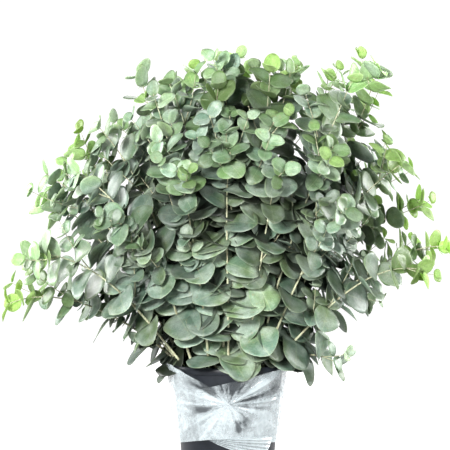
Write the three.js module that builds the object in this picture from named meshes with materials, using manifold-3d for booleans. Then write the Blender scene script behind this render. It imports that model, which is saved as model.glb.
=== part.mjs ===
// A bunch of cut silver-dollar eucalyptus branches standing in a florist's bucket with a clear film wrap.
// Millimetres, +Z up. The origin is the centre of the bucket's underside, and the front is towards -Y.
import * as THREE from 'three';
import { mergeVertices } from 'three/addons/utils/BufferGeometryUtils.js';
import Module from 'manifold-3d';

const wasm = await Module();
wasm.setup();

// ---- Driving dimensions ----

const BUCKET_HEIGHT = 230;
const BASE_RADIUS = 75;
const MOUTH_RADIUS = 95.5;
const WALL = 1.8;
const FLOOR = 5;
const LIP_WIDTH = 5;
const LIP_DEPTH = 13;
const ROUND_SEGMENTS = 36;

const FILM_BOTTOM = 94;
const FILM_TOP = 232;
const FILM_THICKNESS = 0.9;
const FILM_GAP = 0.8;
const FILM_FLARE = 4;
const NOTCH_FOOT = [-30, 198]; // where the film's two front edges meet: [x, z]
const NOTCH_LEFT = -100;
const NOTCH_RIGHT = 145;

const STEM_RADIUS = 2;
const STEM_SIDES = 4;
const STEM_FOOT_GAP = 1; // between the cut ends and the bucket's floor
const BUD_LENGTH = 6;
const TIP_STRAY = 4; // degrees either way, like the two below: the tip from its stem's azimuth
const LEAVING_STRAY = 10; // the way the branch leaves the mouth
const ARRIVING_STRAY = 25; // the way its tip points
const LEAN_SHARE = 0.75; // how much of its straight line's lean a branch has where it leaves the mouth
const LEAN_LIMIT = 48;
const LOW_TIP = 300; // the height of a tip that droops
const HIGH_TIP = 780; // the height of a tip that stands up
const DROOP = -30; // degrees above level
const RISE = 80;
const BASE_SPREAD = 0.62; // how far out the cut ends stand, as a share of the same stem at the mouth
const BASE_TURN = 20; // degrees by which the stems spiral between the mouth and the floor

const LEAF_LENGTH = 60;
const LEAF_WIDTH_SHARE = 0.95;
const LEAF_THICKNESS = 1.6;
const LEAF_SPACING = 34;
const FIRST_LEAF = 0.06; // where the lowest pair sits, as a share of the way from the mouth to the tip
const LEAF_CROWDING = 1.2; // above 1, the pairs stand closer together towards the tip
const LOW_ASCENT = 12; // degrees by which a low leaf leans off the stem's right angle
const HIGH_ASCENT = 50;
const ASCENT_STRAY = 12;
const TURN_STRAY = 15;
const LIGHT_RISE = 0.35; // how far above level the light comes from
const PAIR_STEP = 5; // every fifth pair of leaves is modelled on each branch
const LIGHT_PULL = 0.8; // how strongly the leaves turn their faces to the light
const CLEARANCE = 0.3;
const SHORTEST_EDGE = 0.02;

// ---- Small helpers ----

const UP = new THREE.Vector3(0, 0, 1);
const radians = THREE.MathUtils.degToRad;
const clamp = THREE.MathUtils.clamp;
const lerp = THREE.MathUtils.lerp;

// A repeatable number from 0 to 1 for branch i and use k.
function chance(i, k) {
  const s = Math.sin(i * 12.9898 + k * 78.233) * 43758.5453;
  return s - Math.floor(s);
}

// The same, spread evenly from -1 to 1.
function sway(i, k) {
  return 2 * chance(i, k) - 1;
}

function around(azimuth, radius, z) {
  const a = radians(azimuth);
  return new THREE.Vector3(radius * Math.cos(a), radius * Math.sin(a), z);
}

function solidOf(geometry) {
  geometry.deleteAttribute('normal');
  geometry.deleteAttribute('uv');
  const merged = mergeVertices(geometry, 1e-3);
  return new wasm.Manifold(
    new wasm.Mesh({
      numProp: 3,
      vertProperties: merged.attributes.position.array,
      triVerts: new Uint32Array(merged.index.array),
    }),
  );
}

function geometryOf(solid) {
  const { numProp, numVert, vertProperties, triVerts } = solid.getMesh();
  const points = new Float32Array(numVert * 3);
  for (let i = 0; i < numVert; i++) {
    points.set(vertProperties.subarray(i * numProp, i * numProp + 3), i * 3);
  }
  const geometry = new THREE.BufferGeometry();
  geometry.setAttribute('position', new THREE.BufferAttribute(points, 3));
  geometry.setIndex(new THREE.BufferAttribute(triVerts, 1));
  return geometry;
}

function facetGeometry(points, faces) {
  const geometry = new THREE.BufferGeometry();
  geometry.setAttribute(
    'position',
    new THREE.Float32BufferAttribute(
      points.flatMap((p) => p.toArray()),
      3,
    ),
  );
  geometry.setIndex(faces);
  return geometry;
}

// A solid turned from a profile of [radius, height] points about the vertical axis.
function turned(profile, segments) {
  const points = profile.map(([r, z]) => new THREE.Vector2(r, z));
  return new THREE.LatheGeometry(points, segments).rotateX(Math.PI / 2);
}

// ---- Bucket: one injection-moulded tapered pail with a flat underside and a rolled lip ----

function bucketGeometry() {
  const chamfer = 2;
  const lipFoot = BUCKET_HEIGHT - LIP_DEPTH;
  const lipRadius = MOUTH_RADIUS + LIP_WIDTH;
  return turned(
    [
      [0, 0],
      [BASE_RADIUS - chamfer, 0],
      [BASE_RADIUS, chamfer],
      [MOUTH_RADIUS, lipFoot],
      [lipRadius - 1, lipFoot + 1],
      [lipRadius, lipFoot + 3],
      [lipRadius, BUCKET_HEIGHT - 2],
      [lipRadius - 2, BUCKET_HEIGHT],
      [MOUTH_RADIUS, BUCKET_HEIGHT],
      [MOUTH_RADIUS - WALL, BUCKET_HEIGHT - 2],
      [BASE_RADIUS - WALL, FLOOR + 2],
      [BASE_RADIUS - WALL - 2, FLOOR],
      [0, FLOOR],
    ],
    ROUND_SEGMENTS,
  );
}

// ---- Film wrap: a clear sleeve round the bucket that opens in a V at the front ----

function filmGeometry() {
  const wallAt = (z) =>
    lerp(BASE_RADIUS, MOUTH_RADIUS, z / (BUCKET_HEIGHT - LIP_DEPTH));
  const bottom = wallAt(FILM_BOTTOM) + FILM_GAP;
  const shoulder = MOUTH_RADIUS + LIP_WIDTH + FILM_GAP;
  const lipFoot = BUCKET_HEIGHT - LIP_DEPTH;
  const sleeve = solidOf(
    turned(
      [
        [bottom, FILM_BOTTOM],
        [bottom + FILM_THICKNESS, FILM_BOTTOM],
        [shoulder + FILM_THICKNESS, lipFoot - 2],
        [shoulder + FILM_FLARE + FILM_THICKNESS, FILM_TOP],
        [shoulder + FILM_FLARE, FILM_TOP],
        [shoulder, lipFoot - 2],
        [bottom, FILM_BOTTOM],
      ],
      ROUND_SEGMENTS,
    ),
  );
  const notch = new THREE.Shape([
    new THREE.Vector2(...NOTCH_FOOT),
    new THREE.Vector2(NOTCH_RIGHT, FILM_TOP + 8),
    new THREE.Vector2(NOTCH_LEFT, FILM_TOP + 8),
  ]);
  const frontOnly = 160;
  const wedge = new THREE.ExtrudeGeometry(notch, {
    depth: frontOnly,
    bevelEnabled: false,
  }).rotateX(Math.PI / 2);
  return geometryOf(sleeve.subtract(solidOf(wedge)));
}

// ---- Branch layout: rings of stems in the mouth, each with its tip's [reach, height] ----

const RINGS = [
  // Outer ring, against the lip.
  {
    mouth: 84,
    start: 0,
    tips: [
      [375, 436], [385, 515], [335, 560], [300, 565], [285, 560], [300, 555],
      [335, 545], [352, 520], [382, 335], [352, 425], [255, 480], [222, 560],
      [205, 590], [212, 560], [262, 500], [345, 400],
    ],
  },
  // Shoulder ring.
  {
    mouth: 66,
    start: 13.8,
    tips: [
      [308, 592], [300, 620], [255, 650], [240, 655], [255, 650], [300, 610],
      [318, 560], [285, 560], [215, 610], [185, 650], [190, 640], [240, 600],
      [300, 575],
    ],
  },
  // Crown ring.
  {
    mouth: 46,
    start: 10,
    tips: [
      [268, 748], [262, 740], [200, 725], [180, 722], [175, 738], [225, 640],
      [170, 690], [140, 700], [135, 730], [236, 715],
    ],
  },
  // Top ring.
  {
    mouth: 26,
    start: 25,
    tips: [
      [135, 756], [120, 735], [110, 715], [112, 715], [70, 745], [130, 730],
    ],
  },
  // Middle pair.
  {
    mouth: 9,
    start: 90,
    tips: [
      [20, 750], [45, 738],
    ],
  },
];

// Short shoots that hang over the lip between the outer stems: [azimuth, reach, height].
const SKIRT_MOUTH = 84;
const SKIRT = [
  [193, 150, 275],
  [169, 240, 345],
  [347, 190, 234],
  [11, 255, 345],
  [101, 215, 310],
];

function layout() {
  const ringed = RINGS.flatMap(({ mouth, start, tips }) =>
    tips.map(([reach, height], i) => ({
      azimuth: start + (i * 360) / tips.length,
      mouth,
      reach,
      height,
    })),
  );
  const skirt = SKIRT.map(([azimuth, reach, height]) => ({
    azimuth,
    mouth: SKIRT_MOUTH,
    reach,
    height,
  }));
  return [...ringed, ...skirt].map((branch, i) => ({
    ...branch,
    name: `branch_${String(i + 1).padStart(2, '0')}`,
    index: i,
  }));
}

// ---- A branch's route: cut end on the bucket's floor, through the mouth, out to the tip ----

class BranchPath extends THREE.Curve {
  constructor({ azimuth, mouth, reach, height, index }) {
    super();
    this.azimuth = azimuth;
    const tipTurn = TIP_STRAY * sway(index, 1);
    this.foot = around(
      azimuth + BASE_TURN,
      mouth * BASE_SPREAD,
      FLOOR + STEM_FOOT_GAP,
    );
    this.mouth = around(azimuth, mouth, BUCKET_HEIGHT);
    this.tip = around(azimuth + tipTurn, reach, height);
    const rise = height - BUCKET_HEIGHT;
    const lean = Math.min(
      (LEAN_SHARE * Math.atan2(reach - mouth, rise) * 180) / Math.PI,
      LEAN_LIMIT,
    );
    const climb = clamp((height - LOW_TIP) / (HIGH_TIP - LOW_TIP), 0, 1);
    const pitch = lerp(DROOP, RISE, climb);
    this.leaving = around(azimuth + LEAVING_STRAY * sway(index, 2), 1, 0)
      .multiplyScalar(Math.sin(radians(lean)))
      .addScaledVector(UP, Math.cos(radians(lean)));
    this.arriving = around(azimuth + ARRIVING_STRAY * sway(index, 3), 1, 0)
      .multiplyScalar(Math.cos(radians(pitch)))
      .addScaledVector(UP, Math.sin(radians(pitch)));
    this.inside = this.foot.distanceTo(this.mouth);
    this.outside = this.mouth.distanceTo(this.tip);
    this.share = this.inside / (this.inside + this.outside);
  }

  // The point at t from 0 at the mouth to 1 at the tip.
  above(t, target = new THREE.Vector3()) {
    return hermite(
      this.mouth,
      this.leaving.clone().multiplyScalar(this.outside),
      this.tip,
      this.arriving.clone().multiplyScalar(this.outside),
      t,
      target,
    );
  }

  below(t, target = new THREE.Vector3()) {
    return hermite(
      this.foot,
      this.mouth.clone().sub(this.foot),
      this.mouth,
      this.leaving.clone().multiplyScalar(this.inside),
      t,
      target,
    );
  }

  getPoint(u, target = new THREE.Vector3()) {
    return u < this.share
      ? this.below(u / this.share, target)
      : this.above((u - this.share) / (1 - this.share), target);
  }
}

function hermite(p0, m0, p1, m1, t, target) {
  const t2 = t * t;
  const t3 = t2 * t;
  return target
    .set(0, 0, 0)
    .addScaledVector(p0, 2 * t3 - 3 * t2 + 1)
    .addScaledVector(m0, t3 - 2 * t2 + t)
    .addScaledVector(p1, 3 * t2 - 2 * t3)
    .addScaledVector(m1, t3 - t2);
}

// A stem is a polygon swept through stations, so that every leaf joint lies on its centre line.
function stemSolid(stations) {
  const points = [];
  stations.forEach((station, i) => {
    const before = stations[Math.max(i - 1, 0)];
    const after = stations[Math.min(i + 1, stations.length - 1)];
    const ahead = after.clone().sub(before).normalize();
    const across = new THREE.Vector3(-station.y, station.x, 0).normalize();
    across.addScaledVector(ahead, -across.dot(ahead)).normalize();
    const out = new THREE.Vector3().crossVectors(ahead, across);
    for (let k = 0; k < STEM_SIDES; k++) {
      const a = (k * 2 * Math.PI) / STEM_SIDES;
      points.push(
        station
          .clone()
          .addScaledVector(across, STEM_RADIUS * Math.cos(a))
          .addScaledVector(out, STEM_RADIUS * Math.sin(a)),
      );
    }
  });
  const faces = [];
  const last = (stations.length - 1) * STEM_SIDES;
  for (let base = 0; base < last; base += STEM_SIDES) {
    for (let k = 0; k < STEM_SIDES; k++) {
      const next = (k + 1) % STEM_SIDES;
      const [a, b] = [base + k, base + next];
      faces.push(a, b, b + STEM_SIDES, a, b + STEM_SIDES, a + STEM_SIDES);
    }
  }
  for (let k = 1; k < STEM_SIDES - 1; k++) {
    faces.push(0, k + 1, k, last, last + k, last + k + 1);
  }
  return solidOf(facetGeometry(points, faces));
}

// ---- Leaves: opposite pairs, each pair turned a quarter from the last ----

// The nodes of a branch that carry leaves, closer together towards the tip.
function leafNodes(path, index) {
  const count = Math.round(path.outside / LEAF_SPACING);
  return Array.from({ length: count + 1 }, (_, k) => {
    const t = lerp(FIRST_LEAF, 1, 1 - (1 - k / count) ** LEAF_CROWDING);
    return { t, k, last: k === count, quarter: chance(index, 4) + k };
  });
}

// Branches differ a little, and their leaves shrink towards the tip.
function leafLength(t, index) {
  const vigour = 0.9 + 0.2 * chance(index, 5);
  return LEAF_LENGTH * vigour * (1 - 0.18 * t) * (1 - 0.38 * t ** 8);
}

// The frame of one leaf: where it joins, the way its blade points and the way its upper face looks.
function leafFrame(path, node, side, index) {
  const joint = path.above(node.t);
  const ahead = path.above(node.t + 0.01).sub(path.above(node.t - 0.01)).normalize();
  const across = around(path.azimuth + 90, 1, 0);
  const out = new THREE.Vector3().crossVectors(across, ahead).normalize();
  across.crossVectors(ahead, out);
  const stray = TURN_STRAY * sway(index, 10 + node.k);
  const turn = radians(90 * node.quarter + stray + 180 * side);
  const away = across
    .clone()
    .multiplyScalar(Math.cos(turn))
    .addScaledVector(out, Math.sin(turn));
  const ascent = radians(
    lerp(LOW_ASCENT, HIGH_ASCENT, node.t ** 2) +
      ASCENT_STRAY * sway(index, 40 + node.k + 0.5 * side),
  );
  const blade = away
    .clone()
    .multiplyScalar(Math.cos(ascent))
    .addScaledVector(ahead, Math.sin(ascent));
  const face = ahead
    .clone()
    .multiplyScalar(Math.cos(ascent))
    .addScaledVector(away, -Math.sin(ascent));
  // The face turns part of the way to the light, outwards and up.
  const light = new THREE.Vector3(joint.x, joint.y, 0)
    .setLength(1)
    .addScaledVector(UP, LIGHT_RISE)
    .normalize();
  face.addScaledVector(light, LIGHT_PULL * (1 + face.dot(light))).normalize();
  blade.addScaledVector(face, -blade.dot(face)).normalize();
  return { joint, blade, face };
}

// A leaf is a thin six-sided lens whose base is buried in its stem.
const LEAF_OUTLINE = [
  [0, 0],
  [0.22, -0.43],
  [0.62, -0.44],
  [1, 0],
  [0.62, 0.44],
  [0.22, 0.43],
];

function leafSolid({ joint, blade, face }, length) {
  const width = length * LEAF_WIDTH_SHARE;
  const wide = new THREE.Vector3().crossVectors(face, blade);
  const at = (along, aside, up) =>
    joint
      .clone()
      .addScaledVector(blade, along * length)
      .addScaledVector(wide, aside * width)
      .addScaledVector(face, up);
  const points = [
    ...LEAF_OUTLINE.map(([along, aside]) => at(along, aside, 0)),
    at(0.4, 0, LEAF_THICKNESS / 2),
    at(0.4, 0, -LEAF_THICKNESS / 2),
  ];
  const rim = LEAF_OUTLINE.length;
  const [top, under] = [rim, rim + 1];
  const faces = [];
  for (let k = 0; k < rim; k++) {
    const next = (k + 1) % rim;
    faces.push(k, next, top, next, k, under);
  }
  return solidOf(facetGeometry(points, faces));
}

function boxOf(solid) {
  const { min, max } = solid.boundingBox();
  return new THREE.Box3(
    new THREE.Vector3(...min),
    new THREE.Vector3(...max),
  ).expandByScalar(CLEARANCE);
}

// The stem's stations: its cut end, the mouth, each modelled leaf joint, the halfway points and a short bud.
function stemStations(path, kept) {
  const joints = kept.map(({ t }) => t);
  const halfway = joints.map((t, i) => (t + (joints[i - 1] ?? 0)) / 2);
  const along = [0, ...joints.flatMap((t, i) => [halfway[i], t])];
  const bud = path.tip.clone().addScaledVector(path.arriving, BUD_LENGTH);
  return [path.foot, path.below(0.5), ...along.map((t) => path.above(t)), bud];
}

// Each branch is its stem with the leaves that stay clear of every other part and of its own other pairs.
function branchSolids(branches, fixed) {
  const grown = branches.map((branch) => {
    const path = new BranchPath(branch);
    const nodes = leafNodes(path, branch.index);
    const kept = nodes.filter(({ k, last }) => last || (nodes.length - 1 - k) % PAIR_STEP === 0);
    return { ...branch, path, kept, pieces: [stemSolid(stemStations(path, kept))] };
  });
  const obstacles = fixed.map((solid) => ({ owner: -1, solid, box: boxOf(solid) }));
  grown.forEach(({ index, pieces: [stem] }) =>
    obstacles.push({ owner: index, solid: stem, box: boxOf(stem) }),
  );
  for (const { path, index, kept, pieces } of grown) {
    for (const node of kept) {
      for (const side of [0, 1]) {
        const frame = leafFrame(path, node, side, index);
        const solid = leafSolid(frame, leafLength(node.t, index));
        const box = boxOf(solid);
        const blocked = obstacles.some(
          (other) =>
            (other.owner !== index || (other.joint !== undefined && other.joint !== node.k)) &&
            other.box.intersectsBox(box) &&
            solid.minGap(other.solid, CLEARANCE) < CLEARANCE,
        );
        if (blocked) continue;
        pieces.push(solid);
        obstacles.push({ owner: index, joint: node.k, solid, box });
      }
    }
  }
  return grown.map(({ name, pieces }) => ({
    name,
    solid: wasm.Manifold.union(pieces).simplify(SHORTEST_EDGE),
  }));
}

// ---- The object ----

const plastic = new THREE.MeshStandardMaterial({
  color: 0x1b1f26,
  roughness: 0.4,
  metalness: 0,
});
const clear = new THREE.MeshStandardMaterial({
  color: 0xeef3f4,
  roughness: 0.2,
  metalness: 0,
  transparent: true,
  opacity: 0.45,
});
const foliage = new THREE.MeshStandardMaterial({
  color: 0x7d9a80,
  roughness: 0.6,
  metalness: 0,
});

const bunch = new THREE.Group();

function add(name, geometry, material) {
  const mesh = new THREE.Mesh(geometry, material);
  mesh.name = name;
  bunch.add(mesh);
}

const bucket = bucketGeometry();
const film = filmGeometry();
add('bucket', bucket, plastic);
add('film_wrap', film, clear);

const fixed = [solidOf(bucket.clone()), solidOf(film.clone())];
for (const { name, solid } of branchSolids(layout(), fixed)) {
  add(name, geometryOf(solid), foliage);
}

export default bunch;
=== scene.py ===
import random
from math import atan2, cos, degrees, exp, pi, prod, radians, sin, sqrt

import bmesh
import bpy
from mathutils import Matrix, Vector, noise
from mathutils.kdtree import KDTree


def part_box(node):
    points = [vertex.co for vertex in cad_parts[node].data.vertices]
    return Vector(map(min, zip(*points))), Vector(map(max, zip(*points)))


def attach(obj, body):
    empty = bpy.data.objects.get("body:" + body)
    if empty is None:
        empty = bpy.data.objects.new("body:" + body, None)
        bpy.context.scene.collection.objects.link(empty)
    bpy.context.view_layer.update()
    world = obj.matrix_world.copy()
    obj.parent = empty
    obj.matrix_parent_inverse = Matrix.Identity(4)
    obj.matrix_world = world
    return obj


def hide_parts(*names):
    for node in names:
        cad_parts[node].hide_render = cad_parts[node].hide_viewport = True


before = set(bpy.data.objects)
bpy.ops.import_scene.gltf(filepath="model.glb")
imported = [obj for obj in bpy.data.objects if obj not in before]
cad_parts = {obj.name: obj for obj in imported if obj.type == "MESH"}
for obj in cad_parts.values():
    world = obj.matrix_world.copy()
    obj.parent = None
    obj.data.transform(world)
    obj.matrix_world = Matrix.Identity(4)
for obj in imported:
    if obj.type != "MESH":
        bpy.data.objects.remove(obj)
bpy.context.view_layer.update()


# ---- Camera: straight in front of the bunch, level with its middle ----

SIGHT = Vector((-0.005, 0.0, 0.472))
CAMERA_DISTANCE = 3.0
CAMERA_RISE = radians(0.5)
VIEW_WIDTH = 0.787

camera_data = bpy.data.cameras.new("camera")
camera_data.sensor_width = 36.0
camera_data.lens = camera_data.sensor_width * CAMERA_DISTANCE / VIEW_WIDTH
camera = bpy.data.objects.new("camera", camera_data)
bpy.context.scene.collection.objects.link(camera)
camera.location = SIGHT + CAMERA_DISTANCE * Vector((0.0, -cos(CAMERA_RISE), sin(CAMERA_RISE)))
camera.rotation_euler = (pi / 2 - CAMERA_RISE, 0.0, 0.0)
bpy.context.scene.camera = camera
bpy.context.scene.view_settings.view_transform = "Standard"


# ---- Studio: a plain white floor under a bright, even white surround ----
# Two broad soft lamps stand at the front, and three round the back make the thin outer leaves glow.


def new_material(name):
    material = bpy.data.materials.new(name)
    material.use_nodes = True
    nodes = material.node_tree.nodes
    nodes.clear()
    return material, nodes, material.node_tree.links


FLOOR_NEAR, FLOOR_FAR = 0.15, 0.6  # distances from the object's middle
GLOW_NEAR, GLOW_FAR = 0.75, 1.0

floor_white, nodes, links = new_material("floor_white")
paint = nodes.new("ShaderNodeBsdfPrincipled")
paint.inputs["Base Color"].default_value = (0.5, 0.5, 0.5, 1.0)
paint.inputs["Roughness"].default_value = 0.9
paint.inputs["Specular IOR Level"].default_value = 0.0
paint.inputs["Emission Color"].default_value = (1.0, 1.0, 1.0, 1.0)
# The camera sees the floor lifted to the surround's white, least of all close to the object.
place = nodes.new("ShaderNodeTexCoord")
away = nodes.new("ShaderNodeVectorMath")
away.operation = "LENGTH"
links.new(place.outputs["Object"], away.inputs[0])
glow = nodes.new("ShaderNodeMapRange")
glow.inputs["From Min"].default_value = FLOOR_NEAR
glow.inputs["From Max"].default_value = FLOOR_FAR
glow.inputs["To Min"].default_value = GLOW_NEAR
glow.inputs["To Max"].default_value = GLOW_FAR
links.new(away.outputs["Value"], glow.inputs["Value"])
seen = nodes.new("ShaderNodeLightPath")
lift = nodes.new("ShaderNodeMath")
lift.operation = "MULTIPLY"
links.new(glow.outputs["Result"], lift.inputs[1])
links.new(seen.outputs["Is Camera Ray"], lift.inputs[0])
links.new(lift.outputs[0], paint.inputs["Emission Strength"])
links.new(paint.outputs[0], nodes.new("ShaderNodeOutputMaterial").inputs["Surface"])

bm = bmesh.new()
bmesh.ops.create_circle(bm, cap_ends=True, segments=64, radius=6.0)
floor_mesh = bpy.data.meshes.new("floor")
bm.to_mesh(floor_mesh)
bm.free()
floor_mesh.materials.append(floor_white)
floor = bpy.data.objects.new("floor", floor_mesh)
bpy.context.scene.collection.objects.link(floor)

world = bpy.data.worlds.new("white_room")
world.use_nodes = True
nodes, links = world.node_tree.nodes, world.node_tree.links
SURROUND_SEEN, SURROUND_LIGHT = 1.1, 0.12
seen = nodes.new("ShaderNodeLightPath")
strength = nodes.new("ShaderNodeMapRange")
strength.inputs["To Min"].default_value = SURROUND_LIGHT
strength.inputs["To Max"].default_value = SURROUND_SEEN
links.new(seen.outputs["Is Camera Ray"], strength.inputs["Value"])
nodes["Background"].inputs["Color"].default_value = (1.0, 1.0, 1.0, 1.0)
links.new(strength.outputs["Result"], nodes["Background"].inputs["Strength"])
bpy.context.scene.world = world


def soft_lamp(name, place, size, power):
    lamp_data = bpy.data.lights.new(name, "AREA")
    lamp_data.shape = "DISK"
    lamp_data.size = size
    lamp_data.energy = power
    lamp = bpy.data.objects.new(name, lamp_data)
    bpy.context.scene.collection.objects.link(lamp)
    lamp.location = place
    lamp.rotation_euler = (SIGHT - lamp.location).to_track_quat("-Z", "Y").to_euler()


soft_lamp("key_lamp", (-0.8, -2.45, 1.05), 0.6, 140.0)
soft_lamp("fill_lamp", (1.6, -2.0, 0.6), 1.0, 32.0)
soft_lamp("back_lamp", (0.3, 1.9, 1.7), 1.6, 50.0)
soft_lamp("left_rim_lamp", (-2.1, 0.9, 1.0), 1.2, 105.0)
soft_lamp("right_rim_lamp", (2.1, 0.9, 1.0), 1.2, 105.0)


# ---- Bucket: one injection-moulded tapered pail of black polypropylene ----
# It has a rolled lip with a stacking shoulder under it and a shallow ring under its foot.

bucket_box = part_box("bucket")
BUCKET_HEIGHT = bucket_box[1][2]
LIP_RADIUS = bucket_box[1][0]
MOUTH_RADIUS = LIP_RADIUS - 0.005
FOOT_RADIUS = 0.075
BUCKET_WALL = 0.0018
BUCKET_FLOOR = 0.005
LIP_DEPTH = 0.013


def wall_radius(height):
    """The outer radius of the bucket's tapered wall at a height."""
    return FOOT_RADIUS + (MOUTH_RADIUS - FOOT_RADIUS) * height / (BUCKET_HEIGHT - LIP_DEPTH)


def black_plastic():
    material, nodes, links = new_material("black_plastic")
    shader = nodes.new("ShaderNodeBsdfPrincipled")
    output = nodes.new("ShaderNodeOutputMaterial")
    links.new(shader.outputs[0], output.inputs["Surface"])
    place = nodes.new("ShaderNodeTexCoord")
    # Dust and handling marks dull the black unevenly.
    dust = nodes.new("ShaderNodeTexNoise")
    dust.inputs["Scale"].default_value = 38.0
    dust.inputs["Detail"].default_value = 6.0
    dust.inputs["Roughness"].default_value = 0.65
    links.new(place.outputs["Object"], dust.inputs["Vector"])
    shade = nodes.new("ShaderNodeValToRGB")
    shade.color_ramp.elements[0].position = 0.35
    shade.color_ramp.elements[0].color = (0.006, 0.0075, 0.010, 1.0)
    shade.color_ramp.elements[1].position = 0.8
    shade.color_ramp.elements[1].color = (0.016, 0.019, 0.025, 1.0)
    links.new(dust.outputs["Fac"], shade.inputs["Fac"])
    links.new(shade.outputs["Color"], shader.inputs["Base Color"])
    gloss = nodes.new("ShaderNodeMapRange")
    gloss.inputs["To Min"].default_value = 0.26
    gloss.inputs["To Max"].default_value = 0.46
    links.new(dust.outputs["Fac"], gloss.inputs["Value"])
    links.new(gloss.outputs["Result"], shader.inputs["Roughness"])
    shader.inputs["Specular IOR Level"].default_value = 0.2
    # The mould's fine grain.
    grain = nodes.new("ShaderNodeTexNoise")
    grain.inputs["Scale"].default_value = 900.0
    links.new(place.outputs["Object"], grain.inputs["Vector"])
    bump = nodes.new("ShaderNodeBump")
    bump.inputs["Strength"].default_value = 0.12
    bump.inputs["Distance"].default_value = 0.0004
    links.new(grain.outputs["Fac"], bump.inputs["Height"])
    links.new(bump.outputs["Normal"], shader.inputs["Normal"])
    return material


def bucket():
    rib = 0.0012  # how far a band stands out
    foot_ring = 0.006  # the width of the ring it stands on
    foot_recess = 0.003  # how far the underside is raised inside the ring
    shoulder = BUCKET_HEIGHT - LIP_DEPTH
    outside = [
        (0.0, foot_recess),
        (FOOT_RADIUS - foot_ring - 0.002, foot_recess),
        (FOOT_RADIUS - foot_ring, 0.0),
        (FOOT_RADIUS - 0.0015, 0.0),
        (FOOT_RADIUS, 0.0015),
    ]
    # Two stiffening bands stand out from the wall.
    for band in (0.062, 0.186):
        outside += [
            (wall_radius(band - 0.004), band - 0.004),
            (wall_radius(band - 0.003) + rib, band - 0.003),
            (wall_radius(band + 0.003) + rib, band + 0.003),
            (wall_radius(band + 0.004), band + 0.004),
        ]
    lip = [
        (MOUTH_RADIUS, shoulder),
        (LIP_RADIUS - 0.0012, shoulder + 0.0006),
        (LIP_RADIUS, shoulder + 0.003),
        (LIP_RADIUS, BUCKET_HEIGHT - 0.003),
        (LIP_RADIUS - 0.0012, BUCKET_HEIGHT - 0.0006),
        (MOUTH_RADIUS + 0.001, BUCKET_HEIGHT),
        (MOUTH_RADIUS - BUCKET_WALL, BUCKET_HEIGHT - 0.002),
    ]
    inside = [
        (FOOT_RADIUS - BUCKET_WALL, BUCKET_FLOOR + 0.003),
        (FOOT_RADIUS - BUCKET_WALL - 0.003, BUCKET_FLOOR),
        (0.0, BUCKET_FLOOR),
    ]
    bm = bmesh.new()
    profile = [bm.verts.new((radius, 0.0, height)) for radius, height in outside + lip + inside]
    edges = [bm.edges.new(pair) for pair in zip(profile, profile[1:])]
    bmesh.ops.spin(
        bm,
        geom=profile + edges,
        axis=(0, 0, 1),
        cent=(0, 0, 0),
        angle=2 * pi,
        steps=96,
        use_merge=True,
    )
    bmesh.ops.remove_doubles(bm, verts=bm.verts, dist=1e-6)
    bmesh.ops.recalc_face_normals(bm, faces=bm.faces)
    for face in bm.faces:
        face.smooth = True
    mesh = bpy.data.meshes.new("florist_bucket")
    bm.to_mesh(mesh)
    bm.free()
    mesh.set_sharp_from_angle(angle=radians(40))
    mesh.materials.append(black_plastic())
    piece = bpy.data.objects.new("florist_bucket", mesh)
    bpy.context.scene.collection.objects.link(piece)
    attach(piece, "root")
    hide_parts("bucket")


bucket()


# ---- Film wrap: one sheet of clear film wound round the bucket, its last end over its first ----
# Its top edges cross in a V at the front, where folds run out from a gather, and a twisted corner
# hangs from its lower edge. It is clear where it clings to the wall and milky where it stands off it: the
# milky haze is partly its creases and partly painted sheen for the light the loose film reflects.

film_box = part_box("film_wrap")
FILM_FOOT = film_box[0][2]
FILM_TOP = film_box[1][2]
FILM_GAP = 0.0008
FILM_THICKNESS = 0.0002
FILM_FLARE = 0.0035
FILM_START, FILM_END = radians(-34), radians(376)  # from the front, counter-clockwise
LAYER_STEP = 0.0028  # how much further out each turn lies than the one under it
FRONT_LIFT = 0.015  # how far the lower edge is drawn up at the front
V_ACROSS, V_HEIGHT = -0.030, 0.198  # where the two upper edges cross
RIGHT_SLOPE = 0.235
LEFT_SLOPE_NEAR, LEFT_SLOPE_FAR = 0.87, 0.55
CRUMPLE, LEFT_CRUMPLE, BACK_CRUMPLE = 0.0011, 0.0016, 0.0008  # depths of the wrinkles
SLACK, SLACK_TURN, SLACK_WIDTH = 0.004, -1.45, 0.45  # how far, where and how widely it bags out
GATHER = (0.001, 0.168)  # across, up
FOLD_TOP, FOLD_FADE, FOLD_RUN = 0.045, 0.07, 0.09  # distances from the gather
STREAK_RUN = 0.12
# Folds that run out from the gather: direction and half-width in degrees, height.
FOLDS = [
    (27, 7, 0.0060), (3, 4, 0.0045), (-22, 9, 0.0038), (54, 4, 0.0022), (76, 4, 0.0018),
    (-100, 9, 0.0034), (166, 6, 0.0030), (181, 4, 0.0028), (208, 9, 0.0040), (-130, 12, 0.0034),
]
# Where it clings, round the gather: direction in degrees, distance, half-width in degrees,
# half-length, how clear.
CLINGS = [
    (78, 0.034, 44, 0.018, 0.9), (12, 0.055, 6, 0.045, 0.9), (-7, 0.064, 3, 0.026, 0.8),
    (-58, 0.044, 32, 0.015, 0.8), (193, 0.048, 11, 0.024, 0.8), (142, 0.048, 10, 0.026, 0.85),
    (149, 0.076, 15, 0.022, 0.7),
]


def mix(a, b, share):
    return a + (b - a) * share


def film_ends(turn):
    """The heights of the sheet's lower and upper edges at a turn from the front."""
    across = LIP_RADIUS * sin(turn)
    foot = FILM_FOOT + FRONT_LIFT * max(cos(turn), 0) ** 2
    top = FILM_TOP
    if turn < pi / 2:
        top = min(V_HEIGHT + RIGHT_SLOPE * (across - V_ACROSS), FILM_TOP)
    elif turn > 3 * pi / 2:
        slope = LEFT_SLOPE_NEAR if across > V_ACROSS else LEFT_SLOPE_FAR
        top = min(V_HEIGHT - slope * (across - V_ACROSS), FILM_TOP)
    return foot, top


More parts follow.
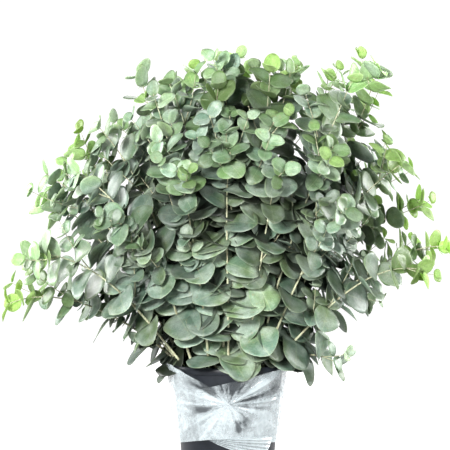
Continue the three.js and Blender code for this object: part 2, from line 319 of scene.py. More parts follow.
def crease(point):
    """Sharp creases of three sizes, from 0 to about 1."""
    return sum(
        share * (1 - min(3 * abs(noise.noise(point * size)), 1))
        for size, share in ((34, 0.5), (83, 0.32), (190, 0.18))
    )


def film_point(turn, height):
    """Where the sheet lies at a turn and a height, and how much milky haze and painted sheen it has there.
    """
    front = (turn + pi) % (2 * pi) - pi
    shoulder = BUCKET_HEIGHT - LIP_DEPTH - 0.002
    climb = (height - FILM_FOOT) / (shoulder - FILM_FOOT)
    radius = mix(wall_radius(FILM_FOOT), LIP_RADIUS, min(climb, 1)) + FILM_GAP
    radius += FILM_FLARE * max(height - shoulder, 0) / (FILM_TOP - shoulder)
    across, up = LIP_RADIUS * front - GATHER[0], height - GATHER[1]
    reach, way = sqrt(across * across + up * up), degrees(atan2(up, across))
    # The folds rise from the gather to their full height, then die out.
    spread = min(reach / FOLD_TOP, 1) * max(1 - max(reach - FOLD_FADE, 0) / FOLD_RUN, 0)

    def off(direction):
        return abs((way - direction + 180) % 360 - 180)

    fold = sum(tall * max(1 - off(course) / wide, 0) ** 1.3 for course, wide, tall in FOLDS) * spread
    cling = 1 - prod(
        1 - clear * exp(-((off(course) / wide) ** 2) - ((reach - far) / long) ** 2)
        for course, far, wide, long, clear in CLINGS
    )
    place = Vector((LIP_RADIUS * cos(front), LIP_RADIUS * sin(front), height))
    wrinkle = crease(place + Vector((0, 0, 3.7)))
    # The sheet is crumpled most to the left of the gather, and a little more at the sides and back.
    leftwards = min(max(-across / 0.09, 0), 1)
    crumpled = CRUMPLE + LEFT_CRUMPLE * leftwards * (reach < 0.14) + BACK_CRUMPLE * (reach > 0.1)
    # Milky streaks of haze and painted sheen run out from the gather, and give way to loose patches.
    streak = noise.noise(Vector((way / 7, reach * 22, 1.5))) * max(1 - reach / STREAK_RUN, 0)
    patch = noise.noise(place * 19 + Vector((5, 1, 0))) * min(reach / STREAK_RUN, 1)
    # Folds and creases add milky haze and painted sheen, and it clears where the film clings.
    haze_and_painted_sheen = 0.5 + 0.5 * patch + 0.6 * streak + 60 * fold - 0.75 * cling + 0.45 * wrinkle**3
    # At the left the sheet bags out from the wall.
    slack = SLACK * exp(-(((front - SLACK_TURN) / SLACK_WIDTH) ** 2)) * sin(pi * min(climb, 1))
    radius += LAYER_STEP * (turn - FILM_START) / (2 * pi) + fold + slack
    radius += crumpled * wrinkle * min(0.35 + reach / 0.05, 1)
    return Vector((radius * sin(turn), -radius * cos(turn), height)), haze_and_painted_sheen


def film_corner(along, aside):
    """The twisted corner that hangs from the front of the lower edge, pleated along its length."""
    pleats = 6
    start, end = -0.36, 1.08  # turns from the front
    top, sink = 0.109, 0.019
    narrow, broad = 0.004, 0.040  # how wide it is where it is twisted, and at its free end
    pleat = abs(2 * (pleats * aside % 1) - 1)
    turn = mix(start, end - 0.34 * aside**2 - 0.05 * pleat, along)
    height = top - sink * along - mix(narrow, broad, along**0.8) * (aside - 0.5)
    bulge = 0.004 * sin(pi * min(along + 0.08, 1)) + 0.0016 * pleat
    radius = wall_radius(height) + FILM_GAP + bulge + 0.0014
    # Its pleats and free end are milkier: haze, and painted sheen for the light they reflect.
    return Vector((radius * sin(turn), -radius * cos(turn), height)), 0.15 + 0.5 * pleat + 0.35 * along


def clear_film():
    material, nodes, links = new_material("clear_film")
    shader = nodes.new("ShaderNodeBsdfPrincipled")
    output = nodes.new("ShaderNodeOutputMaterial")
    links.new(shader.outputs[0], output.inputs["Surface"])
    shader.inputs["Base Color"].default_value = (0.52, 0.58, 0.60, 1.0)
    shader.inputs["Roughness"].default_value = 0.14
    shader.inputs["Specular IOR Level"].default_value = 0.9
    # The milky haze sets how much of the film shows. It is partly creased film and partly painted sheen for
    # the light the loose film reflects, and scuffs make it uneven.
    haze_and_painted_sheen = nodes.new("ShaderNodeAttribute")
    haze_and_painted_sheen.attribute_name = "haze_and_painted_sheen"
    place = nodes.new("ShaderNodeTexCoord")
    scuffs = nodes.new("ShaderNodeTexNoise")
    scuffs.inputs["Scale"].default_value = 150.0
    scuffs.inputs["Detail"].default_value = 5.0
    scuffs.inputs["Roughness"].default_value = 0.7
    links.new(place.outputs["Object"], scuffs.inputs["Vector"])
    uneven = nodes.new("ShaderNodeMapRange")
    uneven.inputs["From Min"].default_value = 0.3
    uneven.inputs["From Max"].default_value = 0.7
    uneven.inputs["To Min"].default_value = -0.16
    uneven.inputs["To Max"].default_value = 0.16
    links.new(scuffs.outputs["Fac"], uneven.inputs["Value"])
    total = nodes.new("ShaderNodeMath")
    total.operation = "ADD"
    links.new(haze_and_painted_sheen.outputs["Fac"], total.inputs[0])
    links.new(uneven.outputs["Result"], total.inputs[1])
    cover = nodes.new("ShaderNodeMapRange")
    cover.inputs["From Max"].default_value = 0.9
    cover.inputs["To Min"].default_value = 0.03
    cover.inputs["To Max"].default_value = 0.62
    links.new(total.outputs[0], cover.inputs["Value"])
    links.new(cover.outputs["Result"], shader.inputs["Alpha"])
    return material


def film_wrap():
    bm = bmesh.new()
    haze_and_sheen_layer = bm.verts.layers.float.new("haze_and_painted_sheen")
    sheet = bmesh.ops.create_grid(bm, x_segments=330, y_segments=60, size=0.5)["verts"]
    for vert in sheet:
        turn = mix(FILM_START, FILM_END, vert.co.x + 0.5)
        height = mix(*film_ends(turn), vert.co.y + 0.5)
        vert.co, vert[haze_and_sheen_layer] = film_point(turn, height)
    corner = bmesh.ops.create_grid(bm, x_segments=60, y_segments=36, size=0.5)["verts"]
    for vert in corner:
        vert.co, vert[haze_and_sheen_layer] = film_corner(vert.co.x + 0.5, vert.co.y + 0.5)
    bm.normal_update()
    for item in bmesh.ops.extrude_face_region(bm, geom=bm.faces[:], use_keep_orig=True)["geom"]:
        if isinstance(item, bmesh.types.BMVert):
            item.co += item.normal * FILM_THICKNESS
    bmesh.ops.recalc_face_normals(bm, faces=bm.faces)
    for face in bm.faces:
        face.smooth = True
    mesh = bpy.data.meshes.new("clear_film_wrap")
    bm.to_mesh(mesh)
    bm.free()
    mesh.set_sharp_from_angle(angle=radians(28))
    mesh.materials.append(clear_film())
    piece = bpy.data.objects.new("clear_film_wrap", mesh)
    bpy.context.scene.collection.objects.link(piece)
    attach(piece, "root")
    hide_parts("film_wrap")


film_wrap()


# ---- Branches: each grew as one piece, a slender stem with opposite, stalkless round leaves ----
# The leaves are silvery grey-green with a waxy bloom, and fresh yellow-green towards the tips. The cut ends
# stand on the bucket's floor, and the stems spiral a little on their way up to the mouth.

BASE_SPREAD = 0.62  # how far out the cut ends stand, as a share of the same stem at the mouth
BASE_TURN = 20  # how far the stems spiral inside the bucket, in degrees
FOOT_GAP = 0.001
TIP_STRAY, LEAVING_STRAY, ARRIVING_STRAY = 4, 10, 25  # degrees of azimuth
LEAN_SHARE, LEAN_LIMIT = 0.75, 48  # a stem leaves the mouth more upright than the straight line to its tip
LOW_TIP, HIGH_TIP = 0.30, 0.78  # tips at the low height droop, those at the high one rise
DROOP, RISE = -30, 80
STEM_RADIUS, TIP_RADIUS = 0.0026, 0.0006
TWIG_RADIUS, TWIG_TIP_RADIUS = 0.0011, 0.0005

LEAF_LENGTH = 0.060
LEAF_THICKNESS = 0.0005
LEAF_SPACING = 0.034  # between pairs, on average: they crowd towards the tip
LEAF_CROWDING = 1.2
FIRST_LEAF = 0.06  # share of the way from the mouth to the tip
LOW_ASCENT, HIGH_ASCENT = 12, 50  # a leaf's lean towards the tip, in degrees
ASCENT_STRAY, TURN_STRAY = 12, 15
LIGHT_RISE, LIGHT_FORWARD = 0.35, 0.4  # leaves face outwards, and so much upwards and to the front
SPRIG_SHARE = 0.36  # how many leaf pairs have a side sprig
SPRIG_SHORT, SPRIG_LONG = 0.07, 0.17
SPRIG_SPACING = 0.022
SPRIG_FIRST_LEAF, SPRIG_LAST_LEAF = 0.040, 0.024
SPRIG_ROUNDNESS = 0.84  # a leaf's width for its length
LOW_ROUNDNESS, HIGH_ROUNDNESS = 1.08, 0.8
# Between these azimuths the leaves are off the stems as far up as BARE, so that stems show over the lip.
STRIPPED = [(190, 246), (340, 350)]
BARE = 0.22
UPPER_SIDE, UNDERSIDE = 1, 2  # material numbers on a branch: its bark is 0
UP = Vector((0.0, 0.0, 1.0))
FRONT = Vector((0.0, -1.0, 0.0))

# Rings of stems in the mouth: the ring's radius, its first azimuth, and each tip's (reach, height).
RINGS = [
    (0.084, 0.0, [
        (0.375, 0.436), (0.385, 0.515), (0.335, 0.560), (0.300, 0.565), (0.285, 0.560), (0.300, 0.555),
        (0.335, 0.545), (0.352, 0.520), (0.382, 0.335), (0.352, 0.425), (0.255, 0.480), (0.222, 0.560),
        (0.205, 0.590), (0.212, 0.560), (0.262, 0.500), (0.345, 0.400),
    ]),
    (0.066, 13.8, [
        (0.308, 0.592), (0.300, 0.620), (0.255, 0.650), (0.240, 0.655), (0.255, 0.650), (0.300, 0.610),
        (0.318, 0.560), (0.285, 0.560), (0.215, 0.610), (0.185, 0.650), (0.190, 0.640), (0.240, 0.600),
        (0.300, 0.575),
    ]),
    (0.046, 10.0, [
        (0.268, 0.748), (0.262, 0.740), (0.200, 0.725), (0.180, 0.722), (0.175, 0.738), (0.225, 0.640),
        (0.170, 0.690), (0.140, 0.700), (0.135, 0.730), (0.236, 0.715),
    ]),
    (0.026, 25.0, [
        (0.135, 0.756), (0.120, 0.735), (0.110, 0.715), (0.112, 0.715), (0.070, 0.745), (0.130, 0.730),
    ]),
    (0.009, 90.0, [(0.020, 0.750), (0.045, 0.738)]),
]
# Short shoots that hang over the lip between the outer stems: azimuth, reach, height.
SKIRT_MOUTH = 0.084
SKIRT = [
    (193, 0.150, 0.275), (169, 0.240, 0.345), (347, 0.190, 0.234), (11, 0.255, 0.345), (101, 0.215, 0.310),
]


def chance(i, k):
    """A repeatable number from 0 to 1 for branch i and use k."""
    s = sin(i * 12.9898 + k * 78.233) * 43758.5453
    return s % 1.0


def sway(i, k):
    return 2 * chance(i, k) - 1


def around(azimuth, radius, height):
    return Vector((radius * cos(radians(azimuth)), radius * sin(radians(azimuth)), height))


def hermite(p0, m0, p1, m1, t):
    t2, t3 = t * t, t * t * t
    return p0 * (2 * t3 - 3 * t2 + 1) + m0 * (t3 - 2 * t2 + t) + p1 * (3 * t2 - 2 * t3) + m1 * (t3 - t2)


class Route:
    """A branch's way from its cut end, through the bucket's mouth, out to its tip."""

    def __init__(self, index, azimuth, mouth_radius, reach, height):
        self.azimuth = azimuth
        self.foot = around(azimuth + BASE_TURN, mouth_radius * BASE_SPREAD, BUCKET_FLOOR + FOOT_GAP)
        self.mouth = around(azimuth, mouth_radius, BUCKET_HEIGHT)
        self.tip = around(azimuth + TIP_STRAY * sway(index, 1), reach, height)
        straight = degrees(atan2(reach - mouth_radius, height - BUCKET_HEIGHT))
        lean = radians(min(LEAN_SHARE * straight, LEAN_LIMIT))
        climb = (height - LOW_TIP) / (HIGH_TIP - LOW_TIP)
        pitch = radians(mix(DROOP, RISE, min(max(climb, 0), 1)))
        self.leaving = around(azimuth + LEAVING_STRAY * sway(index, 2), sin(lean), cos(lean))
        self.arriving = around(azimuth + ARRIVING_STRAY * sway(index, 3), cos(pitch), sin(pitch))
        self.inside = (self.mouth - self.foot).length
        self.outside = (self.tip - self.mouth).length

    def above(self, t):
        return hermite(self.mouth, self.leaving * self.outside, self.tip, self.arriving * self.outside, t)

    def below(self, t):
        return hermite(self.foot, self.mouth - self.foot, self.mouth, self.leaving * self.inside, t)

    def ahead(self, t):
        return (self.above(t + 0.01) - self.above(t - 0.01)).normalized()


def routes():
    made = []
    for mouth_radius, start, tips in RINGS:
        for i, (reach, height) in enumerate(tips):
            azimuth = start + i * 360 / len(tips)
            made.append(Route(len(made), azimuth, mouth_radius, reach, height))
    for azimuth, reach, height in SKIRT:
        made.append(Route(len(made), azimuth, SKIRT_MOUTH, reach, height))
    return made


def sweep(bm, stations, radii, sides):
    """A round stem through the stations, closed at both ends."""
    ring = bmesh.ops.create_circle(bm, cap_ends=True, segments=sides, radius=1.0)["verts"]
    cap = ring[0].link_faces[0]
    before = UP
    last = len(stations) - 1
    for i, station in enumerate(stations):
        ahead = (stations[min(i + 1, last)] - stations[max(i - 1, 0)]).normalized()
        if i > 0:
            made = bmesh.ops.extrude_face_region(bm, geom=[cap])["geom"]
            cap = next(item for item in made if isinstance(item, bmesh.types.BMFace))
        turn = before.rotation_difference(ahead).to_matrix()
        centre = cap.calc_center_median()
        size = radii[i] / (cap.verts[0].co - centre).length
        for vert in cap.verts:
            vert.co = station + turn @ (vert.co - centre) * size
        before = ahead


def leaf_habit(dice):
    """How one leaf is shaped: foot, point and ragged change its outline, the others its surface."""
    return {
        "foot": dice.uniform(0.02, 0.14),
        "point": dice.uniform(0.0, 0.07),
        "cup": dice.uniform(-0.05, 0.32),
        "bend": dice.uniform(-0.2, 0.1),
        "fold": dice.uniform(-0.03, 0.09),
        "twist": dice.uniform(-0.25, 0.25),
        "wave": dice.uniform(0.0, 0.05),
        "ragged": dice.uniform(0.0, 0.05),
        "phase": dice.uniform(0, 2 * pi),
    }


def on_disc(a, b):
    """Where a point of the square from -1 to 1 lands on the round blade."""
    return a * sqrt(1 - b * b / 2), b * sqrt(1 - a * a / 2)


def leaf(bm, joint, blade, face, length, width, habit, colours, steps):
    """One leaf as a sheet: a round blade whose broad foot clasps the stem."""
    wide = face.cross(blade)
    fresh, light = bm.verts.layers.float["fresh"], bm.verts.layers.float["light"]
    blade_map = bm.loops.layers.uv["blade"]
    along, across = steps
    grid = bmesh.ops.create_grid(bm, x_segments=along, y_segments=across, size=1.0)
    for face_made in {made for vert in grid["verts"] for made in vert.link_faces}:
        face_made.material_index = UPPER_SIDE
        for corner in face_made.loops:
            u, v = on_disc(corner.vert.co.x, corner.vert.co.y)
            corner[blade_map].uv = (0.5 + u / 2, 0.5 + v / 2)
    for vert in grid["verts"]:
        u, v = on_disc(vert.co.x, vert.co.y)
        u = (u + 1) / 2  # from 0 at the stem to 1 at the leaf's end, while v goes from edge to edge
        lobe = (1 - u) ** 2
        x = u + habit["point"] * u**9 * (1 - abs(v)) ** 2 - 0.45 * habit["foot"] * lobe * abs(v)
        y = v * (1 + habit["foot"] * 2 * lobe + habit["ragged"] * sin(9 * u + habit["phase"])) / 2
        lift = (
            habit["cup"] * y * y * 2
            + habit["bend"] * u * u
            + habit["fold"] * abs(y)
            + habit["twist"] * u * y
            + habit["wave"] * abs(v) ** 3 * sin(5.5 * u + habit["phase"] + (2.1 if v > 0 else 0))
        )
        vert.co = joint + blade * (x * length) + wide * (y * width) + face * (lift * length)
        vert[fresh], vert[light] = colours


def leaf_pair(bm, joint, ahead, across, turn, ascents, lengths, roundness, dice, colours, steps):
    """Two opposite leaves. Each leans off the stem by its own ascent, then turns its face to the light."""
    out = across.cross(ahead).normalized()
    across = ahead.cross(out)
    outward = Vector((joint.x, joint.y, 0)).normalized()
    for side in (0, 1):
        angle = turn + pi * side + radians(dice.uniform(-9, 9))
        away = across * cos(angle) + out * sin(angle)
        ascent = ascents[side]
        blade = away * cos(ascent) + ahead * sin(ascent)
        roll = Matrix.Rotation(radians(dice.uniform(-16, 16)), 3, blade)
        face = roll @ (ahead * cos(ascent) - away * sin(ascent))
        stray = Vector([dice.gauss(0, 0.28) for _ in range(3)])
        light = (outward + UP * LIGHT_RISE + FRONT * LIGHT_FORWARD + stray).normalized()
        face = (face + light * dice.uniform(0.25, 1.5) * (1 + face.dot(light))).normalized()
        blade = (blade - face * blade.dot(face)).normalized()
        length = lengths[side]
        root = joint + away * 0.0006
        shade = (colours[0], colours[1] * dice.uniform(0.9, 1.1))
        leaf(bm, root, blade, face, length, length * roundness, leaf_habit(dice), shade, steps)


CROWDED_LOW, CROWDED_HIGH = 19, 7  # how many branch points lie near a crowded place, low and high up
CROWD_RADIUS = 0.062
CROWD_OFFSET = 0.05  # they are counted round a spot so much further out


def buried(point):
    """How deep in the bunch a point lies: 0 in the open, 1 where twigs crowd it on its outer side too. It
    sets the leaves' painted shade.
    """
    axis = Vector((0, 0, min(point.z, 0.45)))
    outward = (point - axis).normalized()
    # The stems stand closest just over the lip, so more of them are usual there.
    usual = mix(CROWDED_LOW, CROWDED_HIGH, min(max((point.z - 0.25) / 0.3, 0), 1))
    near = CROWD.find_range(point + outward * CROWD_OFFSET, CROWD_RADIUS)
    return min(len(near) / usual, 1)


BUNCH_MIDDLE = 0.36
BUNCH_WIDTH, BUNCH_DEPTH, BUNCH_RISE = 0.38, 0.42, 0.42  # from the middle, to the sides, front and top


def age_and_painted_shading(point, t, dice, younger):
    """A leaf's colour there: how fresh and yellow-green, and how light with painted light and shade. Deep
    in the bunch it is painted dark as shade, and the outer leaves are painted lighter.
    """
    # From 0 in the bunch's middle to about 1 at its outside.
    rise = max(point.z - BUNCH_MIDDLE, 0)
    edge = sqrt((point.x / BUNCH_WIDTH) ** 2 + (point.y / BUNCH_DEPTH) ** 2 + (rise / BUNCH_RISE) ** 2)
    deep = buried(point)
    aside = min(abs(point.x) / 0.36, 1)
    fresh = 1.3 * (edge - 0.76) + 0.25 * (t - 0.45) - 0.3 * deep + 0.3 * aside**3
    fresh += younger + dice.uniform(-0.28, 0.28)
    outer = min(max((edge - 0.74) / 0.3, 0), 1)
    # Painted shade darkens the leaves deep in the bunch, and painted light lightens the outer ones and
    # those at the sides; the dice add random tone.
    light = (1 - 0.9 * deep) * mix(0.8, 1.4, outer) * (1 + 0.25 * aside**3)
    return min(max(fresh, 0), 1), dice.uniform(0.66, 1.34) * light


def side_sprig(bm, joint, ahead, away, reach, t, youth, dice):
    """A thin young shoot from a leaf's axil, with small leaves in pairs."""
    lean = radians(dice.uniform(24, 42))
    start = (ahead * cos(lean) + away * sin(lean)).normalized()
    drift = Vector((dice.uniform(-0.3, 0.3), dice.uniform(-0.3, 0.3), 0.35))
    end = (start + drift).normalized()
    tip = joint + (start + end).normalized() * reach

    def at(s):
        return hermite(joint, start * reach, tip, end * reach, s)

    steps = 6
    stations = [at(i / steps) for i in range(steps + 1)]
    radii = [mix(TWIG_RADIUS, TWIG_TIP_RADIUS, i / steps) for i in range(steps + 1)]
    sweep(bm, stations, radii, sides=5)
    pairs = max(round(reach / SPRIG_SPACING), 2)
    quarter = dice.random()
    for k in range(1, pairs + 1):
        s = k / pairs
        point = at(s)
        way = (at(s + 0.02) - at(s - 0.02)).normalized()
        length = mix(SPRIG_FIRST_LEAF, SPRIG_LAST_LEAF, s) * dice.uniform(0.85, 1.15)
        ascents = [radians(dice.uniform(10, 45) + 25 * s**3) for _ in range(2)]
        lengths = [length, length * dice.uniform(0.85, 1.1)]
        colours = age_and_painted_shading(point, t, dice, younger=youth + 0.08)
        across = way.orthogonal().normalized()
        turn = (quarter + k) * pi / 2
        leaf_pair(
            bm, point, way, across, turn, ascents, lengths, SPRIG_ROUNDNESS, dice, colours, steps=(4, 4)
        )


def branch(index, route, materials):
    dice = random.Random(500 + index)
    bm = bmesh.new()
    bm.loops.layers.uv.new("blade")
    bm.verts.layers.float.new("fresh")
    bm.verts.layers.float.new("light")

    # The stem tapers from the woody cut end to the soft tip.
    lower, upper = 5, 16
    stations = [route.below(i / lower) for i in range(lower)]
    stations += [route.above(i / upper) for i in range(upper + 1)]
    stations.append(route.tip + route.arriving * 0.004)
    last = len(stations) - 1
    radii = [mix(STEM_RADIUS, TIP_RADIUS, (i / last) ** 1.2) for i in range(last + 1)]
    sweep(bm, stations, radii, sides=8)

    count = round(route.outside / LEAF_SPACING)
    vigour = 0.9 + 0.2 * chance(index, 5)
    youth = 0.25 * sway(index, 6)
    side = around(route.azimuth + 90, 1, 0)
    for k in range(count + 1):
        t = mix(FIRST_LEAF, 1, 1 - (1 - k / count) ** LEAF_CROWDING)
        joint = route.above(t)
        ahead = route.ahead(t)
        # Each pair stands across the one before.
        turn = radians(90 * (chance(index, 4) + k) + TURN_STRAY * sway(index, 10 + k))
        size = LEAF_LENGTH * vigour * (1 - 0.18 * t) * (1 - 0.38 * t**8)
        lengths = [size * dice.uniform(0.88, 1.08) for _ in range(2)]
        ascent = mix(LOW_ASCENT, HIGH_ASCENT, t * t)
        ascents = [
            radians(ascent + ASCENT_STRAY * sway(index, 40 + k + 0.5 * hand) + dice.uniform(-14, 14))
            for hand in (0, 1)
        ]
        colours = age_and_painted_shading(joint, t, dice, younger=youth)
        if t < BARE and any(low < route.azimuth < high for low, high in STRIPPED):
            continue
        roundness = mix(LOW_ROUNDNESS, HIGH_ROUNDNESS, t)
        leaf_pair(bm, joint, ahead, side, turn, ascents, lengths, roundness, dice, colours, steps=(7, 6))
        if 0.3 < t < 0.95 and dice.random() < SPRIG_SHARE:
            out = side.cross(ahead).normalized()
            away = ahead.cross(out) * cos(turn) + out * sin(turn)
            # Sprigs are shorter near the branch's tip.
            longest = 0.03 + 0.8 * (1 - t) * route.outside
            reach = min(dice.uniform(SPRIG_SHORT, SPRIG_LONG), longest)
            side_sprig(bm, joint, ahead, away, reach, t, youth, dice)

    blades = [face for face in bm.faces if face.material_index == UPPER_SIDE]
    bm.normal_update()
    for item in bmesh.ops.extrude_face_region(bm, geom=blades, use_keep_orig=True)["geom"]:
        if isinstance(item, bmesh.types.BMVert):
            item.co -= item.normal * LEAF_THICKNESS
        elif isinstance(item, bmesh.types.BMFace):
            item.material_index = UNDERSIDE
    bmesh.ops.recalc_face_normals(bm, faces=bm.faces)
    for face in bm.faces:
        face.smooth = True

    name = f"eucalyptus_branch_{index + 1:02d}"
    mesh = bpy.data.meshes.new(name)
    bm.to_mesh(mesh)
    bm.free()
    for material in materials:
        mesh.materials.append(material)
    piece = bpy.data.objects.new(name, mesh)
    bpy.context.scene.collection.objects.link(piece)
    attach(piece, "root")
    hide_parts(f"branch_{index + 1:02d}")


def bark():
    """Pale tan-green bark with darker brown streaks along the stem."""
    material, nodes, links = new_material("eucalyptus_bark")
    shader = nodes.new("ShaderNodeBsdfPrincipled")
    output = nodes.new("ShaderNodeOutputMaterial")
    links.new(shader.outputs[0], output.inputs["Surface"])
    place = nodes.new("ShaderNodeTexCoord")
    stretch = nodes.new("ShaderNodeMapping")
    stretch.inputs["Scale"].default_value = (1.0, 1.0, 0.12)
    links.new(place.outputs["Object"], stretch.inputs["Vector"])
    streaks = nodes.new("ShaderNodeTexNoise")
    streaks.inputs["Scale"].default_value = 420.0
    streaks.inputs["Detail"].default_value = 4.0
    links.new(stretch.outputs["Vector"], streaks.inputs["Vector"])
    shade = nodes.new("ShaderNodeValToRGB")
    shade.color_ramp.elements[0].position = 0.3
    shade.color_ramp.elements[0].color = (0.20, 0.17, 0.10, 1.0)
    shade.color_ramp.elements[1].position = 0.6
    shade.color_ramp.elements[1].color = (0.42, 0.45, 0.29, 1.0)
    links.new(streaks.outputs["Fac"], shade.inputs["Fac"])
    links.new(shade.outputs["Color"], shader.inputs["Base Color"])
    shader.inputs["Roughness"].default_value = 0.6
    bump = nodes.new("ShaderNodeBump")
    bump.inputs["Strength"].default_value = 0.4
    bump.inputs["Distance"].default_value = 0.0003
    links.new(streaks.outputs["Fac"], bump.inputs["Height"])
    links.new(bump.outputs["Normal"], shader.inputs["Normal"])
    return material


OLIVE = (0.21, 0.29, 0.12)
BLUE_GREEN = (0.15, 0.25, 0.20)
BLEMISH = (0.30, 0.26, 0.12)
PALE_VEIN = (0.48, 0.56, 0.33)
PALE_RIM = (0.52, 0.60, 0.36)
SHINING_THROUGH = (0.42, 0.62, 0.10)


def blade_material(name, old, middle, young, bloom, roughness, bloom_share):
    """A leaf's skin: green under a waxy bloom, with a pale midrib and side veins that fade to the edge."""
    material, nodes, links = new_material(name)

    def maths(operation, first, second, clamp=False):
        node = nodes.new("ShaderNodeMath")
        node.operation = operation
        node.use_clamp = clamp
        for socket, value in zip(node.inputs, (first, second)):
            if isinstance(value, (int, float)):
                socket.default_value = value
            else:
                links.new(value, socket)
        return node.outputs[0]

    def blend(share, first, second, kind="MIX"):
        node = nodes.new("ShaderNodeMix")
        node.data_type = "RGBA"
        node.blend_type = kind
        for socket, value in zip((node.inputs[0], node.inputs[6], node.inputs[7]), (share, first, second)):
            if isinstance(value, (int, float)):
                socket.default_value = value
            elif isinstance(value, tuple):
                socket.default_value = (*value, 1.0)
            else:
                links.new(value, socket)
        return node.outputs[2]

    def cloud(scale, detail):
        node = nodes.new("ShaderNodeTexNoise")
        node.inputs["Scale"].default_value = scale
        node.inputs["Detail"].default_value = detail
        links.new(place.outputs["Object"], node.inputs["Vector"])
        return node.outputs["Fac"]

    place = nodes.new("ShaderNodeTexCoord")
    fresh = nodes.new("ShaderNodeAttribute")
    fresh.attribute_name = "fresh"
    light = nodes.new("ShaderNodeAttribute")
    light.attribute_name = "light"
    on_blade = nodes.new("ShaderNodeSeparateXYZ")
    blade_map = nodes.new("ShaderNodeUVMap")
    blade_map.uv_map = "blade"
    links.new(blade_map.outputs[0], on_blade.inputs[0])
    along = on_blade.outputs["X"]
    aside = maths("ABSOLUTE", maths("SUBTRACT", on_blade.outputs["Y"], 0.5), 0.0)

    # The midrib runs the blade's length. Eight veins on each side slant off it and fade to the edge.
    midrib = maths("SUBTRACT", 1.0, maths("MULTIPLY", aside, 34.0), clamp=True)
    slant = maths("SUBTRACT", along, maths("MULTIPLY", aside, 0.55))
    crest = maths("COSINE", maths("MULTIPLY", slant, 2 * pi * 8), 0.0)
    fade = maths("SUBTRACT", 1.0, maths("MULTIPLY", aside, 1.9), clamp=True)
    side_veins = maths("MULTIPLY", maths("MULTIPLY", maths("SUBTRACT", crest, 0.86), 6.0, clamp=True), fade)
    veins = maths("MAXIMUM", midrib, maths("MULTIPLY", side_veins, 0.45))
    # A thin pale rim follows the round outline.
    lengthwise = maths("SUBTRACT", along, 0.5)
    squared = maths("ADD", maths("MULTIPLY", lengthwise, lengthwise), maths("MULTIPLY", aside, aside))
    from_middle = maths("POWER", squared, 0.5)
    rim = maths("MULTIPLY", maths("SUBTRACT", from_middle, 0.472), 60.0, clamp=True)

    grown = nodes.new("ShaderNodeValToRGB")
    grown.color_ramp.elements[0].color = (*old, 1.0)
    grown.color_ramp.elements[1].color = (*young, 1.0)
    grown.color_ramp.elements.new(0.42).color = (*middle, 1.0)
    links.new(fresh.outputs["Fac"], grown.inputs["Fac"])
    green = grown.outputs["Color"]
    # Neighbouring leaves differ: some are warmer and olive, some cooler and bluer.
    hue = cloud(13.0, 1.0)
    mature = maths("SUBTRACT", 0.55, fresh.outputs["Fac"], clamp=True)
    warmer, cooler = maths("SUBTRACT", hue, 0.48), maths("SUBTRACT", 0.48, hue)
    for turned, tint in ((warmer, OLIVE), (cooler, BLUE_GREEN)):
        share = maths("MULTIPLY", maths("MULTIPLY", turned, 9.0, clamp=True), mature)
        green = blend(share, green, tint)
    # The waxy bloom lies in clouds, and young leaves hardly have it yet.
    waxy = maths("SUBTRACT", 1.0, maths("MULTIPLY", fresh.outputs["Fac"], 1.3), clamp=True)
    dusty = maths("MULTIPLY", maths("SUBTRACT", cloud(38.0, 8.0), 0.4), 4.5, clamp=True)
    green = blend(maths("MULTIPLY", maths("MULTIPLY", dusty, waxy), bloom_share), green, bloom)
    blemish = maths("MULTIPLY", maths("SUBTRACT", cloud(180.0, 2.0), 0.63), 12.0, clamp=True)
    green = blend(maths("MULTIPLY", blemish, 0.4), green, BLEMISH)
    green = blend(maths("MULTIPLY", veins, 0.3), green, PALE_VEIN)
    green = blend(maths("MULTIPLY", rim, 0.25), green, PALE_RIM)
    fine, coarse = maths("MULTIPLY", cloud(420.0, 4.0), 0.9), maths("MULTIPLY", cloud(110.0, 3.0), 0.7)
    mottle = maths("ADD", 0.2, maths("ADD", fine, coarse))
    # The light attribute brings painted shade to the leaves deep in the bunch and painted light to the
    # outer ones, over the real mottling.
    brightness = maths("MULTIPLY", mottle, light.outputs["Fac"])
    grey = nodes.new("ShaderNodeCombineXYZ")
    for socket in grey.inputs:
        links.new(brightness, socket)
    green = blend(1.0, green, grey.outputs[0], kind="MULTIPLY")

    skin = nodes.new("ShaderNodeBsdfPrincipled")
    links.new(green, skin.inputs["Base Color"])
    skin.inputs["Roughness"].default_value = roughness
    skin.inputs["Specular IOR Level"].default_value = 0.32
    bump = nodes.new("ShaderNodeBump")
    bump.inputs["Strength"].default_value = 0.35
    bump.inputs["Distance"].default_value = 0.0004
    links.new(veins, bump.inputs["Height"])
    links.new(bump.outputs["Normal"], skin.inputs["Normal"])

    # Light from behind shows through, most of all through young leaves.
    glow = nodes.new("ShaderNodeBsdfTranslucent")
    links.new(blend(0.45, green, SHINING_THROUGH), glow.inputs["Color"])
    both = nodes.new("ShaderNodeMixShader")
    links.new(maths("ADD", 0.05, maths("MULTIPLY", fresh.outputs["Fac"], 0.5)), both.inputs[0])
    links.new(skin.outputs[0], both.inputs[1])
    links.new(glow.outputs[0], both.inputs[2])
    links.new(both.outputs[0], nodes.new("ShaderNodeOutputMaterial").inputs["Surface"])
    return material


FOLIAGE = [
    bark(),
    blade_material(
        "leaf_upper",
        old=(0.135, 0.225, 0.135),
        middle=(0.15, 0.265, 0.10),
        young=(0.29, 0.41, 0.13),
        bloom=(0.46, 0.54, 0.47),
        roughness=0.45,
        bloom_share=0.55,
    ),
    blade_material(
        "leaf_underside",
        old=(0.21, 0.31, 0.20),
        middle=(0.23, 0.345, 0.15),
        young=(0.35, 0.47, 0.18),
        bloom=(0.49, 0.57, 0.50),
        roughness=0.55,
        bloom_share=0.55,
    ),
]
ROUTES = routes()
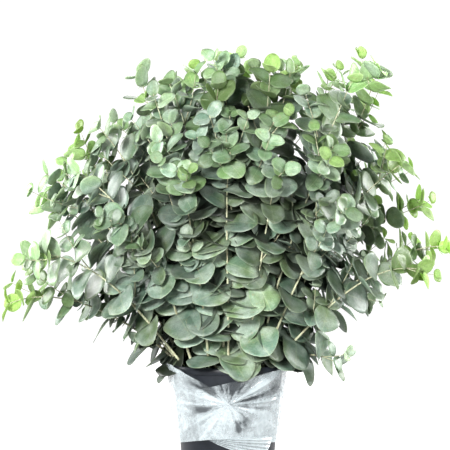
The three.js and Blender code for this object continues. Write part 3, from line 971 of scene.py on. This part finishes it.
# Points along every branch, which tell how crowded a place in the bunch is.
POINTS_PER_BRANCH = 14
CROWD = KDTree(len(ROUTES) * POINTS_PER_BRANCH)
for index, route in enumerate(ROUTES):
    for k in range(POINTS_PER_BRANCH):
        CROWD.insert(route.above((k + 0.5) / POINTS_PER_BRANCH), index * POINTS_PER_BRANCH + k)
CROWD.balance()
for index, route in enumerate(ROUTES):
    branch(index, route, FOLIAGE)
